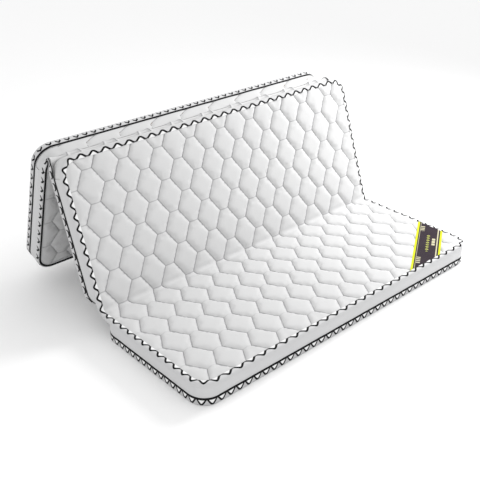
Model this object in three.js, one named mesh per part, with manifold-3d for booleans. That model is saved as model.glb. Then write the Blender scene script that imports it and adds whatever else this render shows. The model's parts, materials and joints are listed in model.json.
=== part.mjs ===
// Tri-fold futon mattress: three equal padded panels joined by two fabric hinges.
// The front fold is a crease in the top cover and opens towards the sleeper.
// The ridge fold is a crease in the bottom cover and opens the other way, so the panels stack in a Z.
// Millimetres, +Z up. X runs along the folds, the front panel lies on the floor towards -Y.
import * as THREE from "three";
import { mergeVertices } from "three/addons/utils/BufferGeometryUtils.js";
import Module from "manifold-3d";

const wasm = await Module();
wasm.setup();

// Driving dimensions
const mattressWidth = 1800;
const panelLength = 700; // from hinge line to hinge line, or to the free end
const panelThickness = 110;
const cornerRadius = 85; // plan radius of a rounded corner
const cornerSteps = 5; // an eighth of a turn is cut into this many facets

// How the panels stand at rest
const middleRise = 70.2; // degrees above the floor
const ridgeFold = 141.3; // degrees between the middle and rear panels, counted from flat

// Hinges
const hingeLift = 4; // hinge line outside the covers that meet there, so that closed panels clear
const hingeSetBack = 2; // each panel's end stops this far short of the hinge plane

// Layers
const coverThickness = 12; // quilted cover: fabric, wadding and backing
const padThickness = 6; // needled felt between cover and core
const borderThickness = 3; // side wall fabric with its thin foam backing
const gap = 0.3; // left between pieces that touch

// Edge tape, an L section sewn over each cover's edge
const tapeThickness = 2;
const tapeOnFace = 20;
const tapeOnSide = 22; // the tapes round the sleeping side
const wideTapeOnSide = 34; // all the other tapes

// Corner label, a woven ribbon laid across the front right corner
const labelAngle = 32.8; // degrees from X
const labelWidth = 132;
const labelReach = 457; // from the corner to where its inner edge meets the front tape
const labelThickness = 1;

const underTape = tapeThickness + gap;
const insideBorder = underTape + borderThickness + gap;
const faceInset = tapeOnFace + gap;
const past = 50; // how far a cutter runs beyond what it cuts

const colours = {
  quilt: { color: 0xf3f3f2, roughness: 0.85 },
  border: { color: 0xeeeeee, roughness: 0.8 },
  tape: { color: 0xc9c9cb, roughness: 0.75 },
  felt: { color: 0xcfcbc2, roughness: 0.95 },
  coir: { color: 0x8b6a45, roughness: 1 },
  label: { color: 0x352a31, roughness: 0.6 },
};

const materials = Object.fromEntries(
  Object.entries(colours).map(([name, look]) => [
    name,
    new THREE.MeshStandardMaterial({ name, metalness: 0, ...look }),
  ]),
);

// A rectangle across the mattress from y0 to y1, with its near and far corners rounded or square.
function outline(inset, ends) {
  const x = mattressWidth / 2 - inset;
  const y0 = ends.near + (ends.nearStraight ? 0 : inset);
  const y1 = ends.far - (ends.farStraight ? 0 : inset);
  const radius = cornerRadius - inset;
  const r0 = ends.nearStraight ? 0 : radius;
  const r1 = ends.farStraight ? 0 : radius;
  const shape = new THREE.Shape();
  shape.moveTo(-x + r0, y0);
  shape.lineTo(x - r0, y0);
  if (r0) shape.absarc(x - r0, y0 + r0, r0, -Math.PI / 2, 0);
  shape.lineTo(x, y1 - r1);
  if (r1) shape.absarc(x - r1, y1 - r1, r1, 0, Math.PI / 2);
  shape.lineTo(-x + r1, y1);
  if (r1) shape.absarc(-x + r1, y1 - r1, r1, Math.PI / 2, Math.PI);
  shape.lineTo(-x, y0 + r0);
  if (r0) shape.absarc(-x + r0, y0 + r0, r0, Math.PI, Math.PI * 1.5);
  return shape;
}

// The same ends with the straight ones pushed out, for a cutter that leaves that end open.
function pastStraightEnds(ends) {
  return {
    ...ends,
    near: ends.near - (ends.nearStraight ? past : 0),
    far: ends.far + (ends.farStraight ? past : 0),
  };
}

function slab(shape, low, high) {
  const geometry = new THREE.ExtrudeGeometry(shape, {
    depth: high - low,
    bevelEnabled: false,
    curveSegments: cornerSteps,
  });
  geometry.translate(0, 0, low);
  return geometry;
}

function block(x0, x1, y0, y1) {
  const height = panelThickness + 2 * past;
  const geometry = new THREE.BoxGeometry(x1 - x0, y1 - y0, height);
  return geometry.translate((x0 + x1) / 2, (y0 + y1) / 2, panelThickness / 2);
}

function toSolid(geometry) {
  const bare = geometry.clone();
  bare.deleteAttribute("normal");
  bare.deleteAttribute("uv");
  const merged = mergeVertices(bare);
  return new wasm.Manifold(
    new wasm.Mesh({
      numProp: 3,
      vertProperties: merged.attributes.position.array,
      triVerts: new Uint32Array(merged.index.array),
    }),
  );
}

function toGeometry(solid) {
  const mesh = solid.getMesh();
  const geometry = new THREE.BufferGeometry();
  geometry.setAttribute("position", new THREE.BufferAttribute(mesh.vertProperties, 3));
  geometry.setIndex(new THREE.BufferAttribute(mesh.triVerts, 1));
  const flat = geometry.toNonIndexed();
  flat.computeVertexNormals();
  return flat;
}

function addMesh(group, name, geometry, material) {
  const mesh = new THREE.Mesh(geometry, materials[material]);
  mesh.name = name;
  group.add(mesh);
}

// A quilted cover with its face up: it steps down at the edge, where the tape is sewn over it.
function coverGeometry(ends) {
  const underside = panelThickness - coverThickness;
  const plate = slab(outline(underTape, ends), underside, panelThickness - underTape);
  const crown = slab(outline(faceInset, ends), underside, panelThickness);
  return toGeometry(toSolid(plate).add(toSolid(crown)));
}

// The edge tape of a cover with its face up, open wherever that cover runs on through a hinge.
function tapeGeometry(ends, onSide) {
  const low = panelThickness - onSide;
  const open = pastStraightEnds(ends);
  const whole = toSolid(slab(outline(0, ends), low, panelThickness));
  const hollow = toSolid(slab(outline(tapeThickness, open), low - past, panelThickness - tapeThickness));
  const window = toSolid(slab(outline(tapeOnFace, open), low - past, panelThickness + past));
  return toGeometry(whole.subtract(hollow).subtract(window));
}

// A cover or tape that was made face up, turned face down in the same place.
function faceDown(geometry, ends) {
  geometry.translate(0, -(ends.near + ends.far) / 2, -panelThickness / 2);
  geometry.rotateY(Math.PI);
  return geometry.translate(0, (ends.near + ends.far) / 2, panelThickness / 2);
}

// The four side walls as one ring, between the two covers.
function wallRing(ends) {
  const low = coverThickness + gap;
  const high = panelThickness - coverThickness - gap;
  const outside = toSolid(slab(outline(underTape, ends), low, high));
  const inside = toSolid(slab(outline(underTape + borderThickness, ends), low - past, high + past));
  return outside.subtract(inside);
}

// Part of the ring of side walls, inside the block from (x0, y0) to (x1, y1).
function wallPart(ends, x0, x1, y0, y1) {
  return toGeometry(wallRing(ends).intersect(toSolid(block(x0, x1, y0, y1))));
}

// What fills the cover: a coir core between two felt pads.
function addFilling(group, name, ends) {
  const shape = outline(insideBorder, ends);
  const padLow = coverThickness + gap;
  const coreLow = padLow + padThickness + gap;
  const coreHigh = panelThickness - coreLow;
  addMesh(group, name + "_bottom_felt_pad", slab(shape, padLow, padLow + padThickness), "felt");
  addMesh(group, name + "_coir_core", slab(shape, coreLow, coreHigh), "coir");
  addMesh(group, name + "_top_felt_pad", slab(shape, coreHigh + gap, coreHigh + gap + padThickness), "felt");
}

function addCoversAndTapes(group, name, topEnds, bottomEnds, topTapeOnSide) {
  const bottomTape = tapeGeometry(bottomEnds, wideTapeOnSide);
  addMesh(group, name + "_top_quilt", coverGeometry(topEnds), "quilt");
  addMesh(group, name + "_top_edge_tape", tapeGeometry(topEnds, topTapeOnSide), "tape");
  addMesh(group, name + "_bottom_quilt", faceDown(coverGeometry(bottomEnds), bottomEnds), "quilt");
  addMesh(group, name + "_bottom_edge_tape", faceDown(bottomTape, bottomEnds), "tape");
}

// The ribbon's inner edge starts labelReach from the corner, along the front tape.
function labelGeometry() {
  const slope = Math.tan(THREE.MathUtils.degToRad(labelAngle));
  const acrossX = labelWidth / Math.sin(THREE.MathUtils.degToRad(labelAngle));
  const right = mattressWidth / 2 - faceInset - gap;
  const front = faceInset + gap;
  const innerX = right - labelReach;
  const outerX = innerX + acrossX;
  const shape = new THREE.Shape();
  shape.moveTo(innerX, front);
  shape.lineTo(outerX, front);
  shape.lineTo(right, front + (right - outerX) * slope);
  shape.lineTo(right, front + (right - innerX) * slope);
  shape.closePath();
  return slab(shape, panelThickness + gap, panelThickness + gap + labelThickness);
}

const wide = mattressWidth / 2 + past;
const nearWall = cornerRadius;
const farWall = panelLength - cornerRadius;

// The front panel: free end near, front fold far, where its top cover runs on into the middle panel.
function frontPanel() {
  const group = new THREE.Group();
  const body = { near: 0, far: panelLength - hingeSetBack };
  addFilling(group, "front", body);
  addCoversAndTapes(group, "front", { ...body, farStraight: true }, body, tapeOnSide);
  addMesh(group, "front_side_border", wallPart(body, -wide, wide, -past, farWall - gap / 2), "border");
  addMesh(group, "front_fold_wall", wallPart(body, -wide, wide, farWall + gap / 2, panelLength + past), "border");
  addMesh(group, "front_corner_label", labelGeometry(), "label");
  return group;
}

// The middle panel: front fold near, ridge fold far, where its bottom cover runs on into the rear panel.
function middlePanel() {
  const group = new THREE.Group();
  const body = { near: hingeSetBack, far: panelLength - hingeSetBack };
  const sideLow = nearWall + gap / 2;
  const sideHigh = farWall - gap / 2;
  addFilling(group, "middle", body);
  const topEnds = { ...body, nearStraight: true };
  addCoversAndTapes(group, "middle", topEnds, { ...body, farStraight: true }, tapeOnSide);
  addMesh(group, "middle_fold_wall", wallPart(body, -wide, wide, -past, nearWall - gap / 2), "border");
  addMesh(group, "middle_left_border", wallPart(body, -wide, 0, sideLow, sideHigh), "border");
  addMesh(group, "middle_right_border", wallPart(body, 0, wide, sideLow, sideHigh), "border");
  addMesh(group, "middle_ridge_gusset", wallPart(body, -wide, wide, farWall + gap / 2, panelLength + past), "quilt");
  return group;
}

// The rear panel: ridge fold near, free end far.
function rearPanel() {
  const group = new THREE.Group();
  const body = { near: hingeSetBack, far: panelLength };
  addFilling(group, "rear", body);
  addCoversAndTapes(group, "rear", body, { ...body, nearStraight: true }, wideTapeOnSide);
  addMesh(group, "rear_ridge_gusset", wallPart(body, -wide, wide, -past, nearWall - gap / 2), "quilt");
  addMesh(group, "rear_side_border", wallPart(body, -wide, wide, nearWall + gap / 2, panelLength + past), "border");
  return group;
}

// Each panel is drawn flat, from its near end at y = 0 and its underside at z = 0.
function assemble() {
  const mattress = new THREE.Group();
  const front = frontPanel();
  front.position.set(0, -panelLength / 2, 0);

  const middleHinge = new THREE.Group();
  middleHinge.position.set(0, panelLength / 2, panelThickness + hingeLift);
  middleHinge.rotation.x = THREE.MathUtils.degToRad(middleRise);
  const middle = middlePanel();
  middle.position.z = -panelThickness - hingeLift;

  const ridgeHinge = new THREE.Group();
  ridgeHinge.position.set(0, panelLength, -panelThickness - 2 * hingeLift);
  ridgeHinge.rotation.x = -THREE.MathUtils.degToRad(ridgeFold);
  const rear = rearPanel();
  rear.position.z = hingeLift;

  ridgeHinge.add(rear);
  middleHinge.add(middle, ridgeHinge);
  mattress.add(front, middleHinge);
  return mattress;
}

const mattress = assemble();

export default mattress;
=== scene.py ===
import json
import math

import bmesh
import bpy
import numpy as np
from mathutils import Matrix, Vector


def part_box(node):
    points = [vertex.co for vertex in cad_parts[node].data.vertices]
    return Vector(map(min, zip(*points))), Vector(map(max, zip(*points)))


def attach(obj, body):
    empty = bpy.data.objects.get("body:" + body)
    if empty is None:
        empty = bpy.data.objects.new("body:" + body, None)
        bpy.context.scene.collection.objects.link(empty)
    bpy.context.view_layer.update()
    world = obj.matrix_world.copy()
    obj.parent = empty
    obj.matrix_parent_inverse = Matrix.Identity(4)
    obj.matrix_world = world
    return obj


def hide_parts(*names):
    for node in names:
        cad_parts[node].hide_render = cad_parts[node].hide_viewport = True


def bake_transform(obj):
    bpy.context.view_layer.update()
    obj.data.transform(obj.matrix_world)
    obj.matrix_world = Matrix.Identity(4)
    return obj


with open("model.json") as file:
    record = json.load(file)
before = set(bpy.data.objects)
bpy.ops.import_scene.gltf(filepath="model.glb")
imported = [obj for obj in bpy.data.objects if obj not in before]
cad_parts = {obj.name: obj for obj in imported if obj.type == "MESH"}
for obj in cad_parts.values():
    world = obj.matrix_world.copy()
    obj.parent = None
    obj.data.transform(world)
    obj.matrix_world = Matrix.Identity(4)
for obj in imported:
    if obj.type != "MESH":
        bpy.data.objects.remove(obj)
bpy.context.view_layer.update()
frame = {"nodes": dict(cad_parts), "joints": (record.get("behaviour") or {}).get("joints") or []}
print("frame loaded")

# where each panel lies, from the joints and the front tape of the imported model

joints = {joint["name"]: joint for joint in frame["joints"]}
frontHinge = np.array(joints["front_fold"]["pos_m"])
ridgeHinge = np.array(joints["ridge_fold"]["pos_m"])
middleRise = math.radians(-joints["front_fold"]["range_deg"][0])  # the middle panel above flat
ridgeFold = math.radians(joints["ridge_fold"]["range_deg"][1])  # the rear panel turned from flat

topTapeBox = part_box("front_top_edge_tape")
halfWidth = topTapeBox[1].x
thickness = topTapeBox[1].z
panelLength = frontHinge[1] - topTapeBox[0].y
hingeLift = frontHinge[2] - thickness  # each hinge line lies this far outside the covers it joins
setBack = frontHinge[1] - topTapeBox[1].y
cornerRadius = 0.085
cornerSteps = 14
quarter = math.pi / 2
rearAngle = middleRise - ridgeFold


def yz(angle):
    return np.array([0, math.cos(angle), math.sin(angle)])


# each panel drawn flat: its near end on the underside, then the directions along and up through it
panels = {
    "front_panel": (np.array([0, frontHinge[1] - panelLength, 0]), yz(0), yz(quarter)),
    "middle_panel": (
        frontHinge - (thickness + hingeLift) * yz(middleRise + quarter),
        yz(middleRise),
        yz(middleRise + quarter),
    ),
    "rear_panel": (
        ridgeHinge + hingeLift * yz(rearAngle + quarter),
        yz(rearAngle),
        yz(rearAngle + quarter),
    ),
}

# each face that a cover lies on. A point is (across, along from the fold line, height above the face),
# and "low" and "high" are where the cover ends along it
faces = {
    "sleeping": {
        "hinge": frontHinge,
        "along": yz(0),
        "out": yz(quarter),
        "turn": middleRise,
        "side": 1,
        "low": -panelLength,
        "high": panelLength - setBack,
        "bodies": ("front_panel", "middle_panel"),
    },
    "ridge": {
        "hinge": ridgeHinge,
        "along": yz(middleRise),
        "out": -yz(middleRise + quarter),
        "turn": ridgeFold,
        "side": -1,
        "low": -panelLength + setBack,
        "high": panelLength,
        "bodies": ("middle_panel", "rear_panel"),
    },
    "under": {
        "hinge": np.array([0, frontHinge[1], -hingeLift]),
        "along": yz(0),
        "out": -yz(quarter),
        "turn": 0,
        "side": -1,
        "low": -panelLength,
        "high": -setBack,
        "bodies": ("front_panel",),
    },
    "outer": {
        "hinge": panels["rear_panel"][0] + (thickness + hingeLift) * yz(rearAngle + quarter),
        "along": yz(rearAngle),
        "out": yz(rearAngle + quarter),
        "turn": 0,
        "side": 1,
        "low": setBack,
        "high": panelLength,
        "bodies": ("rear_panel",),
    },
}
foldBend = 0.028  # a cover turns over this much on each side of its fold line


def ease(t):
    t = np.clip(t, 0, 1)
    return t * t * (3 - 2 * t)


def onFace(name, points):
    face = faces[name]
    across, along, height = np.asarray(points, float).reshape(-1, 3).T
    angle = face["turn"] * ease((along + foldBend) / (2 * foldBend))
    forward = np.outer(np.cos(angle), face["along"]) + np.outer(np.sin(angle), face["out"])
    outward = np.outer(np.cos(angle), face["out"]) - np.outer(np.sin(angle), face["along"])
    placed = along[:, None] * forward + (height - hingeLift)[:, None] * outward
    placed[:, 0] += face["side"] * across
    return placed + face["hinge"]


def onPanel(name, points):
    origin, along, up = panels[name]
    across, forward, height = np.asarray(points, float).reshape(-1, 3).T
    placed = origin + np.outer(forward, along) + np.outer(height, up)
    placed[:, 0] += across
    return placed


# modelling helpers


def deselectAll():
    for thing in bpy.context.selected_objects:
        thing.select_set(False)


def readPoints(piece):
    flat = np.zeros(len(piece.data.vertices) * 3, np.float32)
    piece.data.vertices.foreach_get("co", flat)
    return flat.reshape(-1, 3).astype(float)


def movePoints(piece, points):
    piece.data.vertices.foreach_set("co", np.asarray(points, np.float32).ravel())
    piece.data.update()


def storeValues(piece, name, values):
    attribute = piece.data.attributes.new(name, "FLOAT", "POINT")
    attribute.data.foreach_set("value", np.asarray(values, np.float32).ravel())


def readValues(piece, name):
    values = np.zeros(len(piece.data.vertices), np.float32)
    piece.data.attributes[name].data.foreach_get("value", values)
    return values


def applyModifier(piece, name):
    deselectAll()
    piece.select_set(True)
    bpy.context.view_layer.objects.active = piece
    bpy.ops.object.modifier_apply(modifier=name)


def giveThickness(piece, amount):
    shell = piece.modifiers.new("thickness", "SOLIDIFY")
    shell.thickness = amount
    shell.offset = -1
    applyModifier(piece, "thickness")


def dress(piece, material, smoothAngle=50):
    deselectAll()
    piece.select_set(True)
    bpy.context.view_layer.objects.active = piece
    bpy.ops.object.shade_smooth_by_angle(angle=math.radians(smoothAngle))
    piece.data.materials.clear()
    piece.data.materials.append(material)


def mergeClose(piece, distance):
    work = bmesh.new()
    work.from_mesh(piece.data)
    bmesh.ops.remove_doubles(work, verts=work.verts[:], dist=distance)
    work.to_mesh(piece.data)
    work.free()


# a piece of cloth cut flat as a grid, its vertices then moved to places[row, column] and its uv to marks
def cutCloth(name, places, marks):
    rows, columns = places.shape[0] - 1, places.shape[1] - 1
    deselectAll()
    bpy.ops.mesh.primitive_grid_add(x_subdivisions=columns, y_subdivisions=rows, size=2, calc_uvs=True)
    piece = bpy.context.object
    piece.name = name
    start = readPoints(piece)
    column = np.rint((start[:, 0] + 1) / 2 * columns).astype(int)
    row = np.rint((start[:, 1] + 1) / 2 * rows).astype(int)
    movePoints(piece, places[row, column])
    corner = np.zeros(len(piece.data.loops), np.int32)
    piece.data.loops.foreach_get("vertex_index", corner)
    uv = marks[row[corner], column[corner]].astype(np.float32)
    piece.data.uv_layers[0].data.foreach_set("uv", uv.ravel())
    return piece, row, column


# the edge of a panel or a pair of panels, anticlockwise from the middle of its near side.
# "finer" lists places along the panels, each with its reach, where the points lie closer together
def edgeLine(low, high, finer=(), step=0.012):
    inner = halfWidth - cornerRadius

    def run(a, b):
        a, b = np.array(a, float), np.array(b, float)
        length = np.linalg.norm(b - a)
        stops = set(np.round(np.linspace(0, length, max(2, int(length / step) + 1)), 6))
        for at, reach in finer:
            for near in np.arange(-reach, reach + 1e-6, 0.003):
                k = (at + near - a[1]) / (b[1] - a[1]) if abs(b[1] - a[1]) > 1e-6 else -1
                if 0 < k < 1:
                    stops.add(round(k * length, 6))
        stops = np.array(sorted(stops))
        stops = stops[np.append(True, np.diff(stops) > 0.0008)]
        direction = (b - a) / length
        normal = np.array([direction[1], -direction[0]])
        return a + stops[:, None] * direction, np.repeat([normal], len(stops), axis=0)

    def bend(centre, start):
        angles = np.linspace(start, start + quarter, cornerSteps + 1)
        normal = np.stack([np.cos(angles), np.sin(angles)], axis=1)
        return np.array(centre) + cornerRadius * normal, normal

    parts = [
        run((0, low), (inner, low)),
        bend((inner, low + cornerRadius), -quarter),
        run((halfWidth, low + cornerRadius), (halfWidth, high - cornerRadius)),
        bend((inner, high - cornerRadius), 0),
        run((inner, high), (-inner, high)),
        bend((-inner, high - cornerRadius), quarter),
        run((-halfWidth, high - cornerRadius), (-halfWidth, low + cornerRadius)),
        bend((-inner, low + cornerRadius), 2 * quarter),
        run((-inner, low), (0, low)),
    ]
    points = np.concatenate([p for p, _ in parts])
    normals = np.concatenate([n for _, n in parts])
    keep = np.append(True, np.linalg.norm(np.diff(points, axis=0), axis=1) > 1e-5)
    points, normals = points[keep], normals[keep]
    length = np.append(0, np.cumsum(np.linalg.norm(np.diff(points, axis=0), axis=1)))
    return points, normals, length


# a slow uneven line, for cloth that was never quite straight; it closes over a whole run
def ripple(length, amount, wave, seed):
    total = length[-1]
    turns = max(1, round(total / wave))
    out = np.zeros_like(length)
    for k, share in ((1, 0.5), (1.7, 0.3), (2.9, 0.2)):
        out += share * np.sin(2 * np.pi * round(turns * k) * length / total + seed * (1.3 + k))
    return amount * out


# node helpers


def addNode(tree, kind, values=(), **settings):
    made = tree.nodes.new(kind)
    for name, value in settings.items():
        setattr(made, name, value)
    for socket, value in dict(values).items():
        put(tree, value, made.inputs[socket])
    return made


def put(tree, value, socket):
    if isinstance(value, bpy.types.NodeSocket):
        tree.links.new(value, socket)
    elif value is not None:
        socket.default_value = value


def calc(tree, operation, a, b=None, c=None):
    made = tree.nodes.new("ShaderNodeMath")
    made.operation = operation
    for value, socket in zip((a, b, c), made.inputs):
        put(tree, value, socket)
    return made.outputs[0]


def mixColour(tree, share, a, b, blend="MIX"):
    made = tree.nodes.new("ShaderNodeMix")
    made.data_type = "RGBA"
    made.blend_type = blend
    put(tree, share, made.inputs[0])
    put(tree, a, made.inputs[6])
    put(tree, b, made.inputs[7])
    return made.outputs[2]


def fade(tree, value, low, high, fromValue=0.0, toValue=1.0):
    made = tree.nodes.new("ShaderNodeMapRange")
    made.interpolation_type = "SMOOTHSTEP"
    for k, v in enumerate((value, low, high, fromValue, toValue)):
        put(tree, v, made.inputs[k])
    return made.outputs[0]


def newGroup(name, inputs, outputs):
    group = bpy.data.node_groups.new(name, "ShaderNodeTree")
    for label, kind, value in inputs:
        socket = group.interface.new_socket(label, in_out="INPUT", socket_type=kind)
        if value is not None:
            socket.default_value = value
    for label, kind in outputs:
        group.interface.new_socket(label, in_out="OUTPUT", socket_type=kind)
    return group, group.nodes.new("NodeGroupInput").outputs, group.nodes.new("NodeGroupOutput").inputs


def useGroup(tree, group, values):
    made = tree.nodes.new("ShaderNodeGroup")
    made.node_tree = group
    for socket, value in values.items():
        put(tree, value, made.inputs[socket])
    return made.outputs


# a knitted or woven surface: crossed threads with uneven yarn
def makeWeave():
    tree, inputs, outputs = newGroup(
        "threads",
        [
            ("Place", "NodeSocketVector", None),
            ("Thread", "NodeSocketFloat", 0.002),
            ("Uneven", "NodeSocketFloat", 0.5),
        ],
        [("Height", "NodeSocketFloat"), ("Mottle", "NodeSocketFloat")],
    )
    apart = addNode(tree, "ShaderNodeSeparateXYZ", {0: inputs["Place"]}).outputs
    turn = calc(tree, "DIVIDE", 2 * math.pi, inputs["Thread"])
    warp = calc(tree, "SINE", calc(tree, "MULTIPLY", apart[0], turn))
    weft = calc(tree, "SINE", calc(tree, "MULTIPLY", apart[1], turn))
    crossed = calc(tree, "MULTIPLY_ADD", calc(tree, "MULTIPLY", warp, weft), 0.5, 0.5)
    rough = addNode(
        tree, "ShaderNodeTexNoise", {"Vector": inputs["Place"], "Scale": 420.0, "Detail": 2.0}
    ).outputs["Fac"]
    cloudy = addNode(
        tree, "ShaderNodeTexNoise", {"Vector": inputs["Place"], "Scale": 9.0, "Detail": 3.0}
    ).outputs["Fac"]
    tree.links.new(calc(tree, "MULTIPLY_ADD", rough, inputs["Uneven"], crossed), outputs["Height"])
    tree.links.new(cloudy, outputs["Mottle"])
    return tree


# a line that swings to and fro across a strip; Cusp 1 is pointed where the swing is positive
def makeSwingLine():
    tree, inputs, outputs = newGroup(
        "swingLine",
        [
            ("Phase", "NodeSocketFloat", 0.0),
            ("Across", "NodeSocketFloat", 0.0),
            ("Centre", "NodeSocketFloat", 0.0),
            ("Swing", "NodeSocketFloat", 0.01),
            ("Half Width", "NodeSocketFloat", 0.003),
            ("Slope", "NodeSocketFloat", 1.0),
            ("Cusp", "NodeSocketFloat", 0.5),
            ("Straight", "NodeSocketFloat", 0.5),
        ],
        [("Line", "NodeSocketFloat"), ("Beyond", "NodeSocketFloat")],
    )
    turn = calc(tree, "MULTIPLY", inputs["Phase"], math.pi)
    hops = calc(tree, "MULTIPLY_ADD", calc(tree, "ABSOLUTE", calc(tree, "SINE", turn)), -2.0, 1.0)
    rounded = calc(tree, "COSINE", calc(tree, "MULTIPLY", turn, 2.0))
    fold = calc(tree, "PINGPONG", inputs["Phase"], 0.5)
    pointed = calc(tree, "MULTIPLY_ADD", fold, -4.0, 1.0)
    soft = addNode(tree, "ShaderNodeMix", {0: inputs["Cusp"], 2: rounded, 3: hops}).outputs[0]
    shape = addNode(tree, "ShaderNodeMix", {0: inputs["Straight"], 2: soft, 3: pointed}).outputs[0]
    at = calc(tree, "MULTIPLY_ADD", shape, inputs["Swing"], inputs["Centre"])
    off = calc(tree, "SUBTRACT", inputs["Across"], at)
    # the line keeps its width on its slopes
    bendy = calc(tree, "ABSOLUTE", calc(tree, "SINE", calc(tree, "MULTIPLY", turn, 2.0)))
    lean = addNode(tree, "ShaderNodeMix", {0: inputs["Straight"], 2: bendy, 3: 0.64}).outputs[0]
    rise = calc(tree, "MULTIPLY", lean, inputs["Slope"])
    spread = calc(tree, "SQRT", calc(tree, "MULTIPLY_ADD", rise, rise, 1.0))
    near = calc(tree, "DIVIDE", calc(tree, "ABSOLUTE", off), spread)
    blur = 0.0006
    low = calc(tree, "SUBTRACT", inputs["Half Width"], blur)
    high = calc(tree, "ADD", inputs["Half Width"], blur)
    tree.links.new(fade(tree, near, low, high, 1.0, 0.0), outputs["Line"])
    tree.links.new(fade(tree, off, -blur, blur), outputs["Beyond"])
    return tree


weaveGroup = makeWeave()
swingGroup = makeSwingLine()


def newMaterial(name):
    material = bpy.data.materials.new(name)
    material.use_nodes = True
    tree = material.node_tree
    shader = tree.nodes["Principled BSDF"]
    return material, tree, shader


def bumpInto(tree, shader, height, distance, strength=1.0, before=None):
    bump = addNode(tree, "ShaderNodeBump", {"Strength": strength, "Distance": distance, "Height": height})
    if before is not None:
        tree.links.new(before, bump.inputs["Normal"])
    tree.links.new(bump.outputs[0], shader.inputs["Normal"])
    return bump.outputs[0]


# quilted cover: white brushed polyester knit with sewn seams

quiltLook = {
    "colour": (0.57, 0.57, 0.57, 1),
    "mottled": (0.61, 0.61, 0.615, 1),
    # painted shade: the colour laid into the seam and tie creases
    "crease": (0.22, 0.22, 0.23, 1),
    "stitch": (0.52, 0.52, 0.53, 1),
    "seamWidth": 0.0022,
    "stitchLength": 0.0058,
    "thread": 0.0022,
    "weaveDepth": 0.00025,
}


def makeQuiltMaterial(name, look):
    material, tree, shader = newMaterial(name)
    uv = addNode(tree, "ShaderNodeUVMap").outputs[0]
    seam, tie, tieShow, along = (
        addNode(tree, "ShaderNodeAttribute", attribute_name=label).outputs["Fac"]
        for label in ("seamDist", "tieDist", "tieShow", "seamAlong")
    )
    cloth = useGroup(tree, weaveGroup, {"Place": uv, "Thread": look["thread"], "Uneven": 0.6})
    width = look["seamWidth"]
    # painted shade: the colour darkens in the seam and tie creases, where shade falls
    seamMask = fade(tree, seam, width * 0.35, width * 1.5, 1.0, 0.0)
    tieShadeMask = calc(tree, "MULTIPLY", fade(tree, tie, width * 0.35, width * 1.6, 1.0, 0.0), tieShow)
    seamAndTieShade = calc(tree, "MAXIMUM", seamMask, tieShadeMask)
    dash = calc(tree, "PINGPONG", along, look["stitchLength"] / 2)
    thread = fade(tree, dash, look["stitchLength"] * 0.06, look["stitchLength"] * 0.14)
    onSeam = fade(tree, seam, 0.0005, 0.0011, 1.0, 0.0)
    stitched = calc(tree, "MULTIPLY", thread, onSeam)
    mottled = mixColour(tree, calc(tree, "MULTIPLY", cloth["Mottle"], 0.5), look["colour"], look["mottled"])
    # the painted crease shade mixed into the cover's colour
    creaseShaded = mixColour(tree, calc(tree, "MULTIPLY", seamAndTieShade, 0.75), mottled, look["crease"])
    final = mixColour(tree, stitched, creaseShaded, look["stitch"])
    tree.links.new(final, shader.inputs["Base Color"])
    tree.links.new(fade(tree, cloth["Height"], 0.2, 1.0, 0.92, 0.78), shader.inputs["Roughness"])
    shader.inputs["Specular IOR Level"].default_value = 0.25
    shader.inputs["Sheen Weight"].default_value = 0.12
    shader.inputs["Sheen Roughness"].default_value = 0.5
    fine = bumpInto(tree, shader, cloth["Height"], look["weaveDepth"], 0.5)
    raised = calc(tree, "SUBTRACT", stitched, calc(tree, "MULTIPLY", seamMask, 0.6))
    bumpInto(tree, shader, raised, 0.0012, 0.6, fine)
    return material


quiltMaterial = makeQuiltMaterial("quiltedCover", quiltLook)

borderLook = {
    "colour": (0.56, 0.56, 0.565, 1),
    "shade": (0.60, 0.60, 0.605, 1),
    "thread": 0.003,
    "depth": 0.0004,
}


def makeBorderMaterial(name, look):
    material, tree, shader = newMaterial(name)
    uv = addNode(tree, "ShaderNodeUVMap").outputs[0]
    cloth = useGroup(tree, weaveGroup, {"Place": uv, "Thread": look["thread"], "Uneven": 0.4})
    colour = mixColour(tree, cloth["Mottle"], look["colour"], look["shade"])
    tree.links.new(colour, shader.inputs["Base Color"])
    tree.links.new(fade(tree, cloth["Height"], 0.1, 1.0, 0.9, 0.75), shader.inputs["Roughness"])
    shader.inputs["Specular IOR Level"].default_value = 0.3
    bumpInto(tree, shader, cloth["Height"], look["depth"], 0.5)
    return material


borderMaterial = makeBorderMaterial("borderFabric", borderLook)

# edge tapes: white jacquard ribbon with black figures. Across is metres from the arris, minus on the face.
# A figure is a line that swings along the tape; "filled" colours all on one side of it, "from" and "to" cut
# that off, and "window" keeps only what lies this near the tip, in turns

tapeLook = {
    "white": (0.82, 0.82, 0.82, 1),
    "grey": (0.58, 0.58, 0.585, 1),
    "band": (0.50, 0.50, 0.505, 1),
    "black": (0.008, 0.008, 0.009, 1),
    "rib": 0.0016,
}


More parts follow.
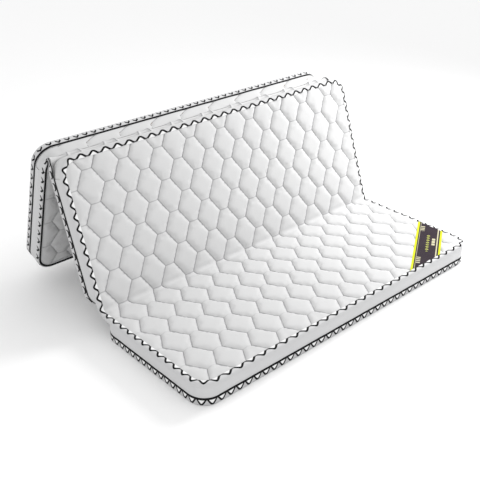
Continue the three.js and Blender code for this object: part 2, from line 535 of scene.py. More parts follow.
def makeTapeMaterial(name, look, figures, greys=(), edgeStitch=None, ground="white"):
    material, tree, shader = newMaterial(name)
    uv = addNode(tree, "ShaderNodeUVMap").outputs[0]
    apart = addNode(tree, "ShaderNodeSeparateXYZ", {0: uv}).outputs
    phase, across = apart[0], apart[1]
    colour = look[ground]

    def figure(mark):
        shifted = calc(tree, "ADD", phase, mark.get("shift", 0.0))
        pitch = mark.get("pitch", 0.055)
        made = useGroup(
            tree,
            swingGroup,
            {
                "Phase": shifted,
                "Across": across,
                "Centre": mark["centre"],
                "Swing": mark["swing"],
                "Half Width": mark.get("half", 0.003),
                "Slope": 2 * math.pi * mark["swing"] / pitch,
                "Cusp": mark.get("cusp", 0.0),
                "Straight": mark.get("straight", 1.0),
            },
        )
        mask = made["Beyond"] if mark.get("filled") else made["Line"]
        if mark.get("filled") == "below":
            mask = calc(tree, "SUBTRACT", 1.0, mask)
        if "from" in mark:
            low = fade(tree, across, mark["from"] - 0.0006, mark["from"] + 0.0006)
            high = fade(tree, across, mark["to"] - 0.0006, mark["to"] + 0.0006, 1.0, 0.0)
            mask = calc(tree, "MULTIPLY", calc(tree, "MULTIPLY", mask, low), high)
        if "window" in mark:
            nearTip = calc(tree, "PINGPONG", shifted, 0.5)
            window = mark["window"]
            shown = fade(tree, nearTip, window - 0.015, window + 0.015, 1.0, 0.0)
            mask = calc(tree, "MULTIPLY", mask, shown)
        return mask

    for mark in greys:
        colour = mixColour(tree, figure(mark), colour, look[mark.get("tone", "grey")])
    black = None
    for mark in figures:
        mask = figure(mark)
        black = mask if black is None else calc(tree, "MAXIMUM", black, mask)
    colour = mixColour(tree, black, colour, look["black"])
    if edgeStitch is not None:
        dashes = calc(tree, "PINGPONG", calc(tree, "MULTIPLY", phase, 9.0), 0.5)
        dash = fade(tree, dashes, 0.1, 0.16)
        row = useGroup(
            tree,
            swingGroup,
            {"Across": across, "Centre": edgeStitch, "Swing": 0.0, "Half Width": 0.0009, "Slope": 0.0},
        )
        colour = mixColour(tree, calc(tree, "MULTIPLY", dash, row["Line"]), colour, look["grey"])
    tree.links.new(colour, shader.inputs["Base Color"])
    rib = calc(tree, "SINE", calc(tree, "MULTIPLY", across, 2 * math.pi / look["rib"]))
    tree.links.new(fade(tree, black, 0.0, 1.0, 0.85, 0.7), shader.inputs["Roughness"])
    shader.inputs["Specular IOR Level"].default_value = 0.1
    raised = calc(tree, "MULTIPLY_ADD", black, 1.5, calc(tree, "MULTIPLY", rib, 0.3))
    bumpInto(tree, shader, raised, 0.0005, 0.7)
    return material


sleepingWave = {"centre": -0.0108, "swing": 0.0090, "pitch": 0.058, "cusp": 0.25, "straight": 0.1}
hangingLoops = {"centre": 0.0180, "swing": 0.0125, "pitch": 0.045, "cusp": 0.45, "straight": 0.15}
frontTopTape = makeTapeMaterial(
    "sleepingEdgeTape",
    tapeLook,
    [{**sleepingWave, "half": 0.0046}],
    greys=[{**sleepingWave, "filled": True, "from": -0.03, "to": 0.03}],
    edgeStitch=-0.0205,
)
underTape = makeTapeMaterial(
    "underEdgeTape",
    tapeLook,
    [{"centre": 0.0320, "swing": 0.0, "half": 0.0056}, {**hangingLoops, "half": 0.0038}],
    greys=[{**hangingLoops, "filled": True, "from": -0.03, "to": 0.04, "tone": "white"}],
    ground="band",
)


def chevronFigures(shift):
    return [
        {"centre": 0.0320 + shift, "swing": 0.0, "half": 0.0056},
        {
            "centre": 0.0265 + shift,
            "swing": 0.0055,
            "half": 0.003,
            "pitch": 0.05,
            "window": 0.16,
            "filled": True,
            "from": 0.022 + shift,
            "to": 0.034 + shift,
        },
        {
            "centre": 0.0110 + shift,
            "swing": 0.0095,
            "half": 0.0042,
            "pitch": 0.05,
            "shift": 0.5,
            "window": 0.3,
        },
    ]


rearMarks = 0.1  # on the rear panel the ridge tape's across value is this much larger
insideTape = makeTapeMaterial(
    "insideEdgeTape",
    tapeLook,
    [
        {"centre": 0.0320, "swing": 0.0, "half": 0.0058},
        {"centre": 0.0165, "swing": 0.0150, "half": 0.0044, "pitch": 0.0536, "window": 0.34},
        {
            "centre": 0.0165,
            "swing": 0.0150,
            "pitch": 0.0536,
            "window": 0.22,
            "filled": "below",
            "from": 0.0150,
            "to": 0.0330,
        },
        *chevronFigures(rearMarks),
    ],
    ground="grey",
)
outerTape = makeTapeMaterial("outerEdgeTape", tapeLook, chevronFigures(0.0), ground="grey")
print("cloth materials made")

# quilts: one knitted cover over wadding, sewn in a honeycomb

quilting = {
    "columnPitch": 0.096,  # from one column of cells to the next
    "firstColumn": -0.774,
    "rowPitch": 0.1545,  # height of a cell
    "rowStart": 0.007,
    "narrow": 0.025,  # half of a cell's short edge
    "swing": 0.046,
    "edge": 0.008,  # the cover runs this far in from the panel's outline, under the tape
    "columns": (-1, 17),
    "valley": 0.0066,
    "groove": 0.0080,  # the cover rises from a seam over about this distance
    "rimFall": 0.015,  # and from its rim over this
    "tieFall": 0.012,  # and from a tie over this
    "rimHeight": -0.0045,
    "sheet": 0.0022,
    "across": 10,  # grid steps across a cell
    "steps": 9,  # grid steps along half a cell
    "knee": 0.0025,  # below its top the cover is softly limited over this height
    "heldFrom": 0.0125,  # this far in from the rim the cover starts to rise from under the tape
    "heldOver": 0.018,
    "foldRows": (-0.012, -0.009, -0.006, -0.003, 0, 0.003, 0.0105),
}


# the grid of a cover: rows along the panel, columns between the seams, and at each point how far it is
# from the nearest seam, rim and tie
def honeycomb(low, high, crossesFold):
    q = quilting
    stepLength = q["rowPitch"] / 2 / q["steps"]
    first = math.ceil((low - q["rowStart"]) / stepLength + 0.3)
    last = math.floor((high - q["rowStart"]) / stepLength - 0.3)
    rows = [low, high, *(q["rowStart"] + stepLength * np.arange(first, last + 1))]
    if crossesFold:
        rows = [r for r in rows if abs(r) > 0.0125 or abs(r - q["rowStart"]) < 1e-6]
        rows += q["foldRows"]
    rows = np.array(sorted(rows))
    turns = (rows - q["rowStart"]) / q["rowPitch"]
    tri = 2 * np.abs(turns - np.rint(turns))
    edge = halfWidth - q["edge"]
    lines = [np.full(len(rows), -edge)]
    kinds = [1]
    for k in range(*q["columns"]):
        wide = q["narrow"] + q["swing"] * tri
        if k % 2:
            wide = q["columnPitch"] - wide
        lines.append(q["firstColumn"] + q["columnPitch"] * k + wide)
        kinds.append(0)
    lines.append(np.full(len(rows), edge))
    kinds.append(1)
    lines = np.array(lines)
    share = 0.5 - 0.5 * np.cos(np.pi * np.arange(q["across"]) / q["across"])
    xs, seam, rim, odd = [], [], [], []
    slope = 1 / math.hypot(1, q["swing"] / (q["rowPitch"] / 2))
    for k in range(len(lines) - 1):
        span = lines[k + 1] - lines[k]
        for t in share:
            xs.append(lines[k] + t * span)
            left = t * span * slope if kinds[k] == 0 else np.full(len(rows), 1.0)
            right = (1 - t) * span * slope if kinds[k + 1] == 0 else np.full(len(rows), 1.0)
            seam.append(np.minimum(left, right))
            nearRim = t * span if kinds[k] else 1.0
            farRim = (1 - t) * span if kinds[k + 1] else 1.0
            rim.append(np.minimum(nearRim, farRim) * np.ones(len(rows)))
            odd.append((k + 1) % 2)  # the first column's cells start half a cell late
    xs.append(lines[-1])
    seam.append(np.full(len(rows), 1.0))
    rim.append(np.zeros(len(rows)))
    odd.append((len(lines) - 1) % 2)
    x = np.array(xs).T
    seam, rim = np.array(seam).T, np.array(rim).T
    late = np.array(odd)[None, :] * 0.5
    half = (rows[:, None] - q["rowStart"]) / q["rowPitch"] - late
    tie = np.abs(half - np.rint(half)) * q["rowPitch"]
    along = rows[:, None] * np.ones_like(x) / slope
    return rows, x, seam, rim, tie, along


def tieDepth(cover, s):
    return np.where(s > 0, cover["tie"][1], cover["tie"][0])


def quiltHeights(cover, s, seam, rim, tie):
    q = quilting
    p = 1 - np.exp(-seam / q["groove"])
    r = 1 - np.exp(-rim / q["rimFall"])
    t = np.exp(-tie / q["tieFall"])
    share = p * r * (1 - tieDepth(cover, s) * t)
    return -q["valley"] + (cover["crown"] + q["valley"]) * share


# "tie" is how deep the ties are before and past the fold line
covers = {
    "sleeping_quilt": {
        "face": "sleeping",
        "crown": 0.0022,
        "top": 0.0034,
        "tie": (0.16, 0.42),
        "replaces": ("front_top_quilt", "middle_top_quilt"),
    },
    "ridge_quilt": {
        "face": "ridge",
        "crown": 0.0022,
        "top": 0.0034,
        "tie": (0.4, 0.4),
        "replaces": ("middle_bottom_quilt", "rear_bottom_quilt"),
    },
    "front_under_quilt": {
        "face": "under",
        "crown": -0.0016,
        "top": 0.0,
        "tie": (0.4, 0.4),
        "replaces": ("front_bottom_quilt",),
    },
    "rear_outer_quilt": {
        "face": "outer",
        "crown": 0.0022,
        "top": 0.0034,
        "tie": (0.4, 0.4),
        "replaces": ("rear_top_quilt",),
    },
}

puffing = {"frames": 20, "pressure": 4.0, "growth": 0.02, "reach": 0.006}


def puffUp(piece, pins):
    group = piece.vertex_groups.new(name="sewn")
    strong = [int(i) for i in np.nonzero(pins > 0.99)[0]]
    group.add(strong, 1.0, "REPLACE")
    soft = [int(i) for i in np.nonzero((pins > 0.01) & (pins <= 0.99))[0]]
    if soft:
        group.add(soft, 0.5, "REPLACE")
    cloth = piece.modifiers.new("puff", "CLOTH")
    settings = cloth.settings
    settings.quality = 5
    settings.mass = 0.3
    settings.tension_stiffness = 15
    settings.compression_stiffness = 15
    settings.shear_stiffness = 5
    settings.bending_stiffness = 0.4
    settings.air_damping = 1
    settings.vertex_group_mass = "sewn"
    settings.use_pressure = True
    settings.uniform_pressure_force = puffing["pressure"]
    settings.shrink_min = -puffing["growth"]
    settings.effector_weights.gravity = 0
    cloth.collision_settings.use_collision = False
    cloth.point_cache.frame_start = 1
    cloth.point_cache.frame_end = puffing["frames"]
    for step in range(1, puffing["frames"] + 1):
        bpy.context.scene.frame_set(step)
    applyModifier(piece, "puff")
    piece.vertex_groups.clear()
    bpy.context.scene.frame_set(1)


def sewQuilt(name, cover):
    q = quilting
    low, high = faces[cover["face"]]["low"] + q["edge"], faces[cover["face"]]["high"] - q["edge"]
    rows, x, seam, rim, tie, along = honeycomb(low, high, low < 0 < high)
    s = rows[:, None] * np.ones_like(x)
    rim = np.minimum(rim, np.minimum(s - low, high - s))
    fromArc = cornerInset(np.stack([x.ravel(), s.ravel()], axis=1), low, high).reshape(x.shape)
    rim = np.minimum(rim, np.maximum(fromArc, 0))
    h = quiltHeights(cover, s, seam, rim, tie)
    h = np.where(rim < 1e-6, q["rimHeight"], h)
    places = np.stack([x, s, h], axis=2)
    marks = np.stack([x, s], axis=2)
    piece, row, column = cutCloth(name, places, marks)
    # the seam and tie values stored here also place the painted crease shade
    storeValues(piece, "seamDist", seam[row, column])
    storeValues(piece, "tieDist", tie[row, column])
    storeValues(piece, "tieShow", tieDepth(cover, s)[row, column] * 1.6)
    storeValues(piece, "seamAlong", along[row, column])
    roundCorners(piece, low, high)
    points = readPoints(piece)
    before = points.copy()
    seamNow, tieNow = readValues(piece, "seamDist"), readValues(piece, "tieDist")
    edge = halfWidth - q["edge"]
    onRim = np.abs(points[:, 0]) > edge - 0.0006
    onRim |= (points[:, 1] < low + 0.0006) | (points[:, 1] > high - 0.0006)
    onRim |= cornerInset(points, low, high) < 0.0006
    pins = np.where(onRim | (seamNow < 1e-5), 1.0, 0.0)
    pins = np.where((pins < 1) & (tieNow < 1e-5), 0.5, pins)
    puffUp(piece, pins)
    points = readPoints(piece)
    shift = points - before
    far = np.linalg.norm(shift, axis=1, keepdims=True)
    shift = shift * np.minimum(1, puffing["reach"] / np.maximum(far, 1e-9))
    points = before + shift
    top = cover["top"]
    rise = points[:, 2]
    knee = top - q["knee"]
    limited = knee + (top - knee) * np.tanh((rise - knee) / (top - knee))
    points[:, 2] = np.where(rise > knee, limited, rise)
    points[:, 2] = np.maximum(points[:, 2], -q["valley"] - 0.0006)
    # under the tape, and just inside it, the cover is held down
    sides = [edge - np.abs(points[:, 0]), points[:, 1] - low, high - points[:, 1]]
    inward = np.minimum.reduce([*sides, cornerInset(points, low, high)])
    held = -0.0020 + 0.0056 * ease((inward - q["heldFrom"]) / q["heldOver"])
    points[:, 2] = np.minimum(points[:, 2], held)
    if cover["face"] == "sleeping":  # and the label presses it flat
        flat = labelShare(points[:, 0], points[:, 1])
        pressed = points[:, 2] * (1 - flat) + np.minimum(points[:, 2], -0.0012) * flat
        points[:, 2] = np.minimum(points[:, 2], pressed)
    movePoints(piece, points)
    giveThickness(piece, q["sheet"])
    movePoints(piece, onFace(cover["face"], drawEndsIn(cover["face"], readPoints(piece))))
    dress(piece, quiltMaterial, 60)
    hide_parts(*cover["replaces"])
    hold(piece, cover["face"])
    print("sewn", name, len(piece.data.polygons), "faces")


# how far inside the rounded outline a point is, near a corner; large elsewhere
def cornerInset(points, low, high):
    inset = quilting["edge"]
    radius = cornerRadius - inset
    dx = np.abs(points[:, 0]) - (halfWidth - inset - radius)
    dy = np.maximum(low + radius - points[:, 1], points[:, 1] - (high - radius))
    inCorner = (dx > 0) & (dy > 0)
    return np.where(inCorner, radius - np.hypot(dx, dy), 1.0)


# cuts a cover's corners off and moves its edge there onto the rounded outline
def roundCorners(piece, low, high):
    points = readPoints(piece)
    outside = cornerInset(points, low, high) < -1e-6
    work = bmesh.new()
    work.from_mesh(piece.data)
    work.verts.ensure_lookup_table()
    gone = [f for f in work.faces if all(outside[v.index] for v in f.verts)]
    bmesh.ops.delete(work, geom=gone, context="FACES")
    inset = quilting["edge"]
    radius = cornerRadius - inset
    for vertex in work.verts:
        dx = abs(vertex.co.x) - (halfWidth - inset - radius)
        dy = max(low + radius - vertex.co.y, vertex.co.y - (high - radius))
        if dx > 0 and dy > 0 and math.hypot(dx, dy) > radius:
            k = radius / math.hypot(dx, dy)
            vertex.co.x = math.copysign(halfWidth - inset - radius + dx * k, vertex.co.x)
            near = vertex.co.y < (low + high) / 2
            vertex.co.y = low + radius - dy * k if near else high - radius + dy * k
            vertex.co.z = quilting["rimHeight"]
    bmesh.ops.remove_doubles(work, verts=work.verts[:], dist=0.0004)
    work.to_mesh(piece.data)
    work.free()


# at the ridge the cover and its tape are drawn in, because the panels' corners are round there
ridgeEnds = {"pull": 0.012, "along": 0.066, "across": 0.13}


def drawEndsIn(face, points):
    if face != "ridge":
        return points
    near = 1 - ease(np.abs(points[..., 1]) / ridgeEnds["along"])
    outer = ease((np.abs(points[..., 0]) - halfWidth + ridgeEnds["across"]) / ridgeEnds["across"])
    points = points.copy()
    points[..., 0] -= np.sign(points[..., 0]) * ridgeEnds["pull"] * near * outer
    return points


# a piece on one panel rides on it, and one on two panels keeps the bend it was made with, its transform
# baked in
def hold(piece, face):
    bodies = faces[face]["bodies"]
    if len(bodies) == 1:
        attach(piece, bodies[0])
        return
    ends = onFace(face, [[0, -foldBend, 0], [0, foldBend, 0]])
    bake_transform(piece)


# corner label: its place in the sleeping face

labelPlan = {
    "angle": math.radians(32.8),
    "width": 0.132,
    "reach": 0.457,
    "inset": 0.0206,
    "thickness": 0.0009,
}


# metres from the label's inner edge, growing towards the corner
def labelAcross(x, s):
    right = halfWidth - labelPlan["inset"]
    front = -panelLength + labelPlan["inset"]
    innerX = right - labelPlan["reach"]
    sine, cosine = math.sin(labelPlan["angle"]), math.cos(labelPlan["angle"])
    return (x - innerX) * sine - (s - front) * cosine


# 1 under the label and 0 clear of it
def labelShare(x, s):
    across = labelAcross(x, s)
    return ease((across + 0.010) / 0.014) * ease((labelPlan["width"] + 0.010 - across) / 0.014)


for name, cover in covers.items():
    sewQuilt(name, cover)
print("quilts sewn")

# edge tapes

tapePlan = {
    "onFace": 0.0215,
    "thickness": 0.0014,
    "gather": 0.22,  # what is left of the side's depth at a fold
}
# "pitch" is the length of a figure along the folds and across them, "arris" the radius it turns over,
# and "gathered" how far from a fold its side starts to gather
tapes = {
    "sleeping_edge_tape": {
        "face": "sleeping",
        "pitch": (0.063, 0.0535),
        "arris": 0.006,
        "bead": 0.0,
        "onSide": 0.0215,
        "gathered": 0.032,
        "material": frontTopTape,
        "replaces": ("front_top_edge_tape", "middle_top_edge_tape"),
        "seed": 1.0,
    },
    "front_under_edge_tape": {
        "face": "under",
        "pitch": (0.048, 0.040),
        "arris": 0.0035,
        "bead": 0.0,
        "onSide": 0.038,
        "material": underTape,
        "replaces": ("front_bottom_edge_tape",),
        "seed": 2.0,
    },
    "ridge_edge_tape": {
        "face": "ridge",
        "pitch": (0.0536, 0.0536),
        "arris": 0.005,
        "bead": 0.003,
        "onSide": 0.038,
        "gathered": 0.045,
        "material": insideTape,
        "replaces": ("middle_bottom_edge_tape", "rear_bottom_edge_tape"),
        "seed": 3.0,
    },
    "rear_outer_edge_tape": {
        "face": "outer",
        "pitch": (0.047, 0.053),
        "arris": 0.004,
        "bead": 0.0015,
        "onSide": 0.038,
        "material": outerTape,
        "replaces": ("rear_top_edge_tape",),
        "seed": 4.0,
    },
}


def sewTape(name, tape):
    plan = tapePlan
    low, high = faces[tape["face"]]["low"], faces[tape["face"]]["high"]
    crossesFold = low < 0 < high
    points, normals, length = edgeLine(low, high, [(0.0, 0.03)] if crossesFold else [])
    pitchX, pitchY = tape["pitch"]
    middle = (normals[1:] + normals[:-1]) / 2
    alongX = np.abs(middle[:, 1]) / (np.abs(middle[:, 0]) + np.abs(middle[:, 1]))
    phase = np.append(0, np.cumsum(np.diff(length) / (pitchX * alongX + pitchY * (1 - alongX))))
    phase *= round(phase[-1]) / phase[-1]
    radius, onSide = tape["arris"], tape["onSide"]
    arc = radius * quarter / 2
    face = np.linspace(-plan["onFace"], -arc, 6)
    turn = np.linspace(-arc, arc, 7)[1:-1]
    side = np.linspace(arc, onSide, 7)
    v = np.concatenate([face, turn, side])[::-1]
    around = np.clip((v + arc) / radius, 0, quarter)
    inset = radius * (1 - np.sin(around)) + np.maximum(0, -arc - v)
    depth = radius * (1 - np.cos(around)) + np.maximum(0, v - arc)
    inset = inset + 0.0012 * ease((v - onSide + 0.0075) / 0.008)  # its stitches draw the lower edge in
    lift = tape["bead"] * np.exp(-((v / 0.009) ** 2))
    lift = lift + 0.0008 * np.sin(np.pi * np.clip((-v) / plan["onFace"], 0, 1))
    lift = lift - 0.0004 * ease((-v - 0.019) / 0.003)
    waver = ripple(length, 0.0006, 0.17, tape["seed"])
    swell = ripple(length, 0.0007, 0.11, tape["seed"] + 2)
    overSide = ease((v + arc) / (2 * arc))
    deep = np.ones(len(points))
    if crossesFold:  # the side flange gathers where the tape turns through the fold
        spread = ease(np.abs(points[:, 1]) / tape["gathered"])
        deep = plan["gather"] + (1 - plan["gather"]) * spread
    insets = inset[:, None] + waver[None, :] * (0.4 + 0.6 * overSide[:, None])
    heights = lift[:, None] * np.ones(len(points)) - depth[:, None] * deep[None, :]
    heights = heights + swell[None, :] * (1 - overSide[:, None]) * 0.8
    if tape["face"] == "under":
        heights = np.minimum(heights, -0.0002)
    flat = points[None, :, :] - normals[None, :, :] * insets[:, :, None]
    places = np.concatenate([flat, heights[:, :, None]], axis=2)
    places = onFace(tape["face"], drawEndsIn(tape["face"], places)).reshape(places.shape)
    across = np.repeat(v[:, None], len(phase), 1)
    if tape["face"] == "ridge":  # the rear half is sewn the other way up, its line on the face
        across = np.where(points[None, :, 1] > 0, rearMarks + plan["onFace"] - across, across)
    marks = np.stack([np.repeat(phase[None, :], len(v), 0), across], axis=2)
    piece, _, _ = cutCloth(name, places, marks)
    mergeClose(piece, 0.00005)
    giveThickness(piece, plan["thickness"])
    dress(piece, tape["material"])
    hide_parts(*tape["replaces"])
    hold(piece, tape["face"])


for name, tape in tapes.items():
    sewTape(name, tape)
print("tapes sewn on")

# side borders: a band of fabric round each panel between its two covers

borderPlan = {
    "inset": 0.0036,
    "bulge": 0.0030,
    "underCover": 0.010,  # where no tape runs, the band goes this far past the cover's face
    "underTape": 0.015,  # and this far past it under the sleeping side's tape
    "underWideTape": 0.031,
    "thickness": 0.0016,
    "rows": 12,
}
bodyEnds = {
    "front_panel": (0.0, panelLength - setBack),
    "middle_panel": (setBack, panelLength - setBack),
    "rear_panel": (setBack, panelLength),
}


# the part of a panel's outline from one place to another, anticlockwise seen from above
def wallLine(panel, keep, step=0.012):
    low, high = bodyEnds[panel]
    points, normals, length = edgeLine(low, high, step=step)
    points, normals = points[:-1], normals[:-1]
    chosen = keep(points)
    start = int(np.nonzero(chosen & ~np.roll(chosen, 1))[0][0]) if not chosen.all() else 0
    order = (np.arange(len(points)) + start) % len(points)
    order = order[chosen[order]]
    points, normals = points[order], normals[order]
    if chosen.all():
        points, normals = np.vstack([points, points[:1]]), np.vstack([normals, normals[:1]])
    length = np.append(0, np.cumsum(np.linalg.norm(np.diff(points, axis=0), axis=1)))
    return points, normals, length


# a strip of cloth on a panel's wall, insets[row, column] inside the outline and z[row] above the underside
def cutWall(name, panel, line, z, insets):
    points, normals, length = line
    flat = points[None] - normals[None] * insets[:, :, None]
    heights = np.repeat(z[:, None], len(points), 1)
    places = np.concatenate([flat, heights[:, :, None]], axis=2)
    marks = np.stack([np.repeat(length[None, :], len(z), 0), heights], axis=2)
    piece, row, column = cutCloth(name, onPanel(panel, places).reshape(places.shape), marks)
    return piece, row, column, heights


fromCorner = cornerRadius + setBack
nearSide = fromCorner - 0.0001
farSide = panelLength - fromCorner - 0.0001
# each band's panel, solids, part of the outline, and how far it tucks in at its lower and upper edge
borders = {
    "front_side_band": {
        "panel": "front_panel",
        "nodes": ("front_side_border",),
        "keep": lambda p: p[:, 1] <= panelLength - cornerRadius + 0.0001,
        "tucks": ("underWideTape", "underTape"),
        "seed": 1.0,
    },
    "front_fold_band": {
        "panel": "front_panel",
        "nodes": ("front_fold_wall",),
        "keep": lambda p: p[:, 1] >= farSide,
        "tucks": ("underWideTape", "underCover"),
        "seed": 2.0,
    },
    "middle_fold_band": {
        "panel": "middle_panel",
        "nodes": ("middle_fold_wall",),
        "keep": lambda p: p[:, 1] <= fromCorner + 0.0001,
        "tucks": ("underWideTape", "underCover"),
        "seed": 3.0,
    },
    "middle_left_band": {
        "panel": "middle_panel",
        "nodes": ("middle_left_border",),
        "keep": lambda p: (p[:, 0] < 0) & (p[:, 1] >= nearSide) & (p[:, 1] <= farSide + 0.0002),
        "tucks": ("underWideTape", "underTape"),
        "seed": 4.0,
    },
    "middle_right_band": {
        "panel": "middle_panel",
        "nodes": ("middle_right_border",),
        "keep": lambda p: (p[:, 0] > 0) & (p[:, 1] >= nearSide) & (p[:, 1] <= farSide + 0.0002),
        "tucks": ("underWideTape", "underTape"),
        "seed": 5.0,
    },
    "rear_side_band": {
        "panel": "rear_panel",
        "nodes": ("rear_side_border",),
        "keep": lambda p: p[:, 1] >= nearSide,
        "tucks": ("underWideTape", "underWideTape"),
        "seed": 6.0,
    },
}


def sewBand(name, band):
    plan = borderPlan
    line = wallLine(band["panel"], band["keep"])
    length = line[2]
    t = np.linspace(0, 1, plan["rows"] + 1)
    low, high = plan[band["tucks"][0]], thickness - plan[band["tucks"][1]]
    z = low + (high - low) * t
    inset = plan["inset"] - plan["bulge"] * np.sin(np.pi * t) ** 0.7
    waver = ripple(length, 0.0007, 0.21, band["seed"])
    insets = inset[:, None] + waver[None, :] * np.sin(np.pi * t)[:, None]
    piece = cutWall(name, band["panel"], line, z, insets)[0]
    giveThickness(piece, plan["thickness"])
    dress(piece, borderMaterial)
    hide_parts(*band["nodes"])
    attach(piece, band["panel"])


for name, band in borders.items():
    sewBand(name, band)

# ridge gussets: quilted end walls, their seams meeting at the ridge crease

gussetPlan = {
    "pitch": 0.180,
    "first": -0.66,  # where the first seam meets the turn
    "rows": 16,
    "valley": 0.0052,
    "inset": 0.0042,
    "puff": 0.0052,
    "thickness": 0.0018,
}
# a seam turns at "apex" of the wall's height, and leans by these amounts per metre below and above it
gussets = {
    "middle_ridge_gusset_quilt": {
        "panel": "middle_panel",
        "nodes": ("middle_ridge_gusset",),
        "keep": lambda p: p[:, 1] >= farSide,
        "tucks": ("underCover", "underTape"),
        "apex": 0.5,
        "lean": (0.3, 0.6),
        "seed": 7.0,
    },
    "rear_ridge_gusset_quilt": {
        "panel": "rear_panel",
        "nodes": ("rear_ridge_gusset",),
        "keep": lambda p: p[:, 1] <= fromCorner + 0.0001,
        "tucks": ("underCover", "underWideTape"),
        "apex": 0.39,
        "lean": (0.3, 2.0),
        "seed": 8.0,
    },
}


def sewGusset(name, gusset):
    plan = gussetPlan
    line = wallLine(gusset["panel"], gusset["keep"], step=0.007)
    points, _, length = line
    t = np.linspace(0, 1, plan["rows"] + 1)
    low, high = borderPlan[gusset["tucks"][0]], thickness - borderPlan[gusset["tucks"][1]]
    z = low + (high - low) * t
    across = points[:, 0][None, :] * np.ones((len(z), 1))
    straight = (np.abs(points[:, 0]) < halfWidth - cornerRadius - 0.02)[None, :]
    past = z - gusset["apex"] * thickness
    lean = np.where(past < 0, *gusset["lean"])
    turn = (across - plan["first"] - (past * lean)[:, None]) / plan["pitch"]
    seam = np.abs(turn - np.rint(turn)) * plan["pitch"] / np.hypot(1, lean)[:, None]
    seam = np.where(straight, seam, 1.0)
    flatter = ease((halfWidth - cornerRadius - np.abs(points[:, 0])) / 0.04)[None, :]
    puff = (1 - np.exp(-seam / 0.009)) * np.sin(np.pi * t)[:, None] ** 0.6 * flatter
    waver = ripple(length, 0.0006, 0.17, gusset["seed"])
    insets = plan["inset"] - plan["puff"] * puff
    insets = insets + plan["valley"] * np.exp(-seam / 0.006) * np.sin(np.pi * t)[:, None] * 0.5
    insets = insets + waver[None, :] * np.sin(np.pi * t)[:, None]
    piece, row, column, heights = cutWall(name, gusset["panel"], line, z, insets)
    # the seam distance also places the painted crease shade on the gusset
    storeValues(piece, "seamDist", seam[row, column])
    storeValues(piece, "tieDist", np.ones(len(row)))
    storeValues(piece, "tieShow", np.zeros(len(row)))
    storeValues(piece, "seamAlong", heights[row, column])
    giveThickness(piece, plan["thickness"])
    dress(piece, quiltMaterial)
    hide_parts(*gusset["nodes"])
    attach(piece, gusset["panel"])


for name, gusset in gussets.items():
    sewGusset(name, gusset)
print("borders and gussets sewn")

# corner label: woven ribbon with plain stripes, bars and lozenges

labelLook = {
    "yellow": (0.56, 0.61, 0.015, 1),
    "dark": (0.028, 0.019, 0.026, 1),
    "cream": (0.50, 0.47, 0.32, 1),
    "motif": (0.42, 0.44, 0.10, 1),
}


def makeLabelMaterial(name, look):
    material, tree, shader = newMaterial(name)
    uv = addNode(tree, "ShaderNodeUVMap").outputs[0]
    apart = addNode(tree, "ShaderNodeSeparateXYZ", {0: uv}).outputs
    along, across = apart[0], apart[1]

    def between(value, low, high):
        return calc(
            tree,
            "MULTIPLY",
            fade(tree, value, low - 0.0005, low + 0.0005),
            fade(tree, value, high - 0.0005, high + 0.0005, 1.0, 0.0),
        )

    width = labelPlan["width"]
    colour = look["dark"]
    inner = between(across, -0.01, 0.0105)
    outer = between(across, width - 0.010, width + 0.01)
    yellow = calc(tree, "MAXIMUM", inner, outer)
    farStripe = between(across, width - 0.024, width - 0.018)
    pale = calc(tree, "MAXIMUM", between(across, 0.0165, 0.0185), farStripe)

    # short bars near both ends of the inner stripe
    comb = calc(tree, "PINGPONG", along, 0.009)
    bars = calc(tree, "MULTIPLY", fade(tree, comb, 0.0040, 0.0052, 1.0, 0.0), between(across, 0.020, 0.040))
    near = calc(tree, "MAXIMUM", between(along, 0.085, 0.148), between(along, 0.435, 0.498))
    bars = calc(tree, "MULTIPLY", bars, near)

    # a row of lozenges down the middle
    hop = calc(tree, "PINGPONG", calc(tree, "ADD", along, -0.0125), 0.0125)
    off = calc(tree, "ABSOLUTE", calc(tree, "SUBTRACT", across, 0.064))
    diamond = calc(tree, "ADD", hop, off)
    lozenge = fade(tree, diamond, 0.0085, 0.0100, 1.0, 0.0)
    heart = fade(tree, diamond, 0.0035, 0.0045, 1.0, 0.0)
    lozenge = calc(tree, "SUBTRACT", lozenge, heart)
    lozenge = calc(tree, "MULTIPLY", lozenge, between(along, 0.215, 0.400))
    # a small plain block beside it
    block = calc(tree, "MULTIPLY", between(across, 0.084, 0.100), between(along, 0.285, 0.362))
    slots = fade(tree, calc(tree, "PINGPONG", along, 0.0130), 0.0020, 0.0032)
    block = calc(tree, "MULTIPLY", block, slots)
    cream = calc(tree, "MAXIMUM", calc(tree, "MAXIMUM", pale, bars), block)
    colour = mixColour(tree, cream, colour, look["cream"])
    colour = mixColour(tree, lozenge, colour, look["motif"])
    colour = mixColour(tree, yellow, colour, look["yellow"])
    tree.links.new(colour, shader.inputs["Base Color"])
    cloth = useGroup(tree, weaveGroup, {"Place": uv, "Thread": 0.0011, "Uneven": 0.3})
    tree.links.new(fade(tree, cloth["Height"], 0.0, 1.0, 0.75, 0.6), shader.inputs["Roughness"])
    shader.inputs["Specular IOR Level"].default_value = 0.08
    bumpInto(tree, shader, cloth["Height"], 0.0002, 0.4)
    return material


labelMaterial = makeLabelMaterial("labelRibbon", labelLook)


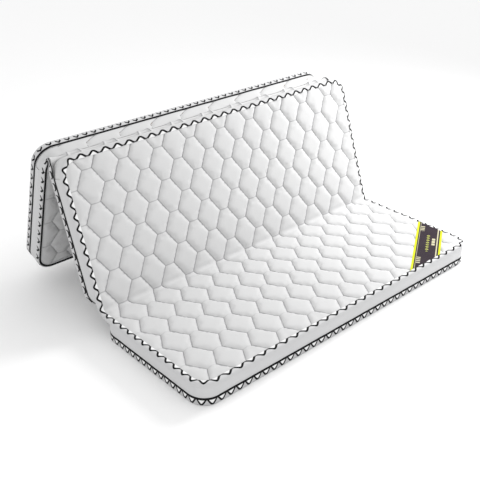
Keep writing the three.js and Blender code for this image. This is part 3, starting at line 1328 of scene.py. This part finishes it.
def sewLabel():
    plan = labelPlan
    slope = math.tan(plan["angle"])
    right = halfWidth - plan["inset"]
    front = -panelLength + plan["inset"]
    innerX = right - plan["reach"]
    acrossX = plan["width"] / math.sin(plan["angle"])
    t = np.linspace(0, 1, 25)
    r = np.linspace(0, 1, 61)
    nearX = innerX + t * acrossX
    farS = front + (right - nearX) * slope
    x = nearX[:, None] + (right - nearX)[:, None] * r[None, :]
    s = front + (farS - front)[:, None] * r[None, :]
    cosine, sine = math.cos(plan["angle"]), math.sin(plan["angle"])
    along = (x - innerX) * cosine + (s - front) * sine
    across = labelAcross(x, s)
    edgeDrop = ease((0.006 - np.minimum(across, plan["width"] - across)) / 0.006)
    # it follows the cells under it a little
    rolls = np.sin(2 * np.pi * (x / quilting["columnPitch"] + 0.2))
    rolls = 0.0009 * rolls * np.sin(2 * np.pi * s / quilting["rowPitch"])
    h = 0.0011 + rolls - 0.0007 * edgeDrop
    places = np.stack([x, s, h], axis=2)
    marks = np.stack([along, across], axis=2)
    # rows run from the outer edge to the inner one, so that the cut faces up
    piece, _, _ = cutCloth("front_corner_ribbon", places[::-1], marks[::-1])
    movePoints(piece, onFace("sleeping", readPoints(piece)))
    giveThickness(piece, plan["thickness"])
    dress(piece, labelMaterial)
    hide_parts("front_corner_label")
    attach(piece, "front_panel")


sewLabel()
print("label sewn on")

# the filling keeps its solids and gets its own look


fillings = {
    "_coir_core": {
        "material": "coirBoard",
        "colours": ((0.13, 0.07, 0.03, 1), (0.36, 0.22, 0.11, 1)),
        "scale": 160.0,
        "stretch": (1, 1, 3),
        "depth": 0.0012,
    },
    "_felt_pad": {
        "material": "needledFelt",
        "colours": ((0.52, 0.50, 0.46, 1), (0.70, 0.68, 0.63, 1)),
        "scale": 220.0,
        "stretch": (1, 1, 1),
        "depth": 0.0006,
    },
}


def makeFillingMaterial(look):
    material, tree, shader = newMaterial(look["material"])
    place = addNode(tree, "ShaderNodeTexCoord").outputs["Object"]
    squeezed = addNode(tree, "ShaderNodeMapping", {"Vector": place, "Scale": look["stretch"]}).outputs[0]
    fibre = addNode(
        tree,
        "ShaderNodeTexNoise",
        {"Vector": squeezed, "Scale": look["scale"], "Detail": 6.0, "Distortion": 1.4},
    )
    strand = fade(tree, fibre.outputs["Fac"], 0.35, 0.65)
    tree.links.new(mixColour(tree, strand, *look["colours"]), shader.inputs["Base Color"])
    tree.links.new(fade(tree, strand, 0.0, 1.0, 0.98, 0.85), shader.inputs["Roughness"])
    bumpInto(tree, shader, strand, look["depth"], 0.8)
    return material


for ending, look in fillings.items():
    material = makeFillingMaterial(look)
    for name, node in frame["nodes"].items():
        if name.endswith(ending):
            node.data.materials.clear()
            node.data.materials.append(material)
print("filling given its look")

# studio

studio = {
    "floor": (0.94, 0.94, 0.94, 1),
    "sky": 1.0,
    "keyPower": 64,
    "keyPlace": (2.25, -0.1, 1.8),
    "keyTarget": (0.6, 0.0, 0.15),
    "keySize": 1.3,
}


# a lamp or a camera at a place, looking in a direction
def addPointing(name, data, place, direction):
    thing = bpy.data.objects.new(name, data)
    bpy.context.scene.collection.objects.link(thing)
    thing.location = place
    thing.rotation_mode = "QUATERNION"
    thing.rotation_quaternion = direction.to_track_quat("-Z", "Y")
    return thing


def addStudio():
    deselectAll()
    bpy.ops.mesh.primitive_plane_add(size=60, location=(0, 0, -0.0015))
    floor = bpy.context.object
    floor.name = "studio_floor"
    material, _, shader = newMaterial("studioFloor")
    shader.inputs["Base Color"].default_value = studio["floor"]
    shader.inputs["Roughness"].default_value = 0.9
    shader.inputs["Specular IOR Level"].default_value = 0.1
    floor.data.materials.append(material)
    world = bpy.data.worlds.new("studio")
    bpy.context.scene.world = world
    world.use_nodes = True
    background = world.node_tree.nodes["Background"]
    background.inputs[0].default_value = (1, 1, 1, 1)
    background.inputs[1].default_value = studio["sky"]
    data = bpy.data.lights.new("key", "AREA")
    data.shape = "DISK"
    data.size = studio["keySize"]
    data.energy = studio["keyPower"]
    addPointing("key", data, studio["keyPlace"], Vector(studio["keyTarget"]) - Vector(studio["keyPlace"]))


addStudio()

cameraPlan = {
    "azimuth": -41.825,
    "elevation": 28.402,
    "place": (-2.39048, -2.23754, 2.06242),
    "lens": 59.288,
}


def addCamera():
    a, e = math.radians(cameraPlan["azimuth"]), math.radians(cameraPlan["elevation"])
    back = Vector((math.sin(a) * math.cos(e), -math.cos(a) * math.cos(e), math.sin(e)))
    data = bpy.data.cameras.new("camera")
    data.lens = cameraPlan["lens"]
    data.sensor_width = 36
    bpy.context.scene.camera = addPointing("camera", data, cameraPlan["place"], -back)


addCamera()
bpy.context.scene.view_settings.view_transform = "Standard"
print("studio and camera placed")

print("scene ready")
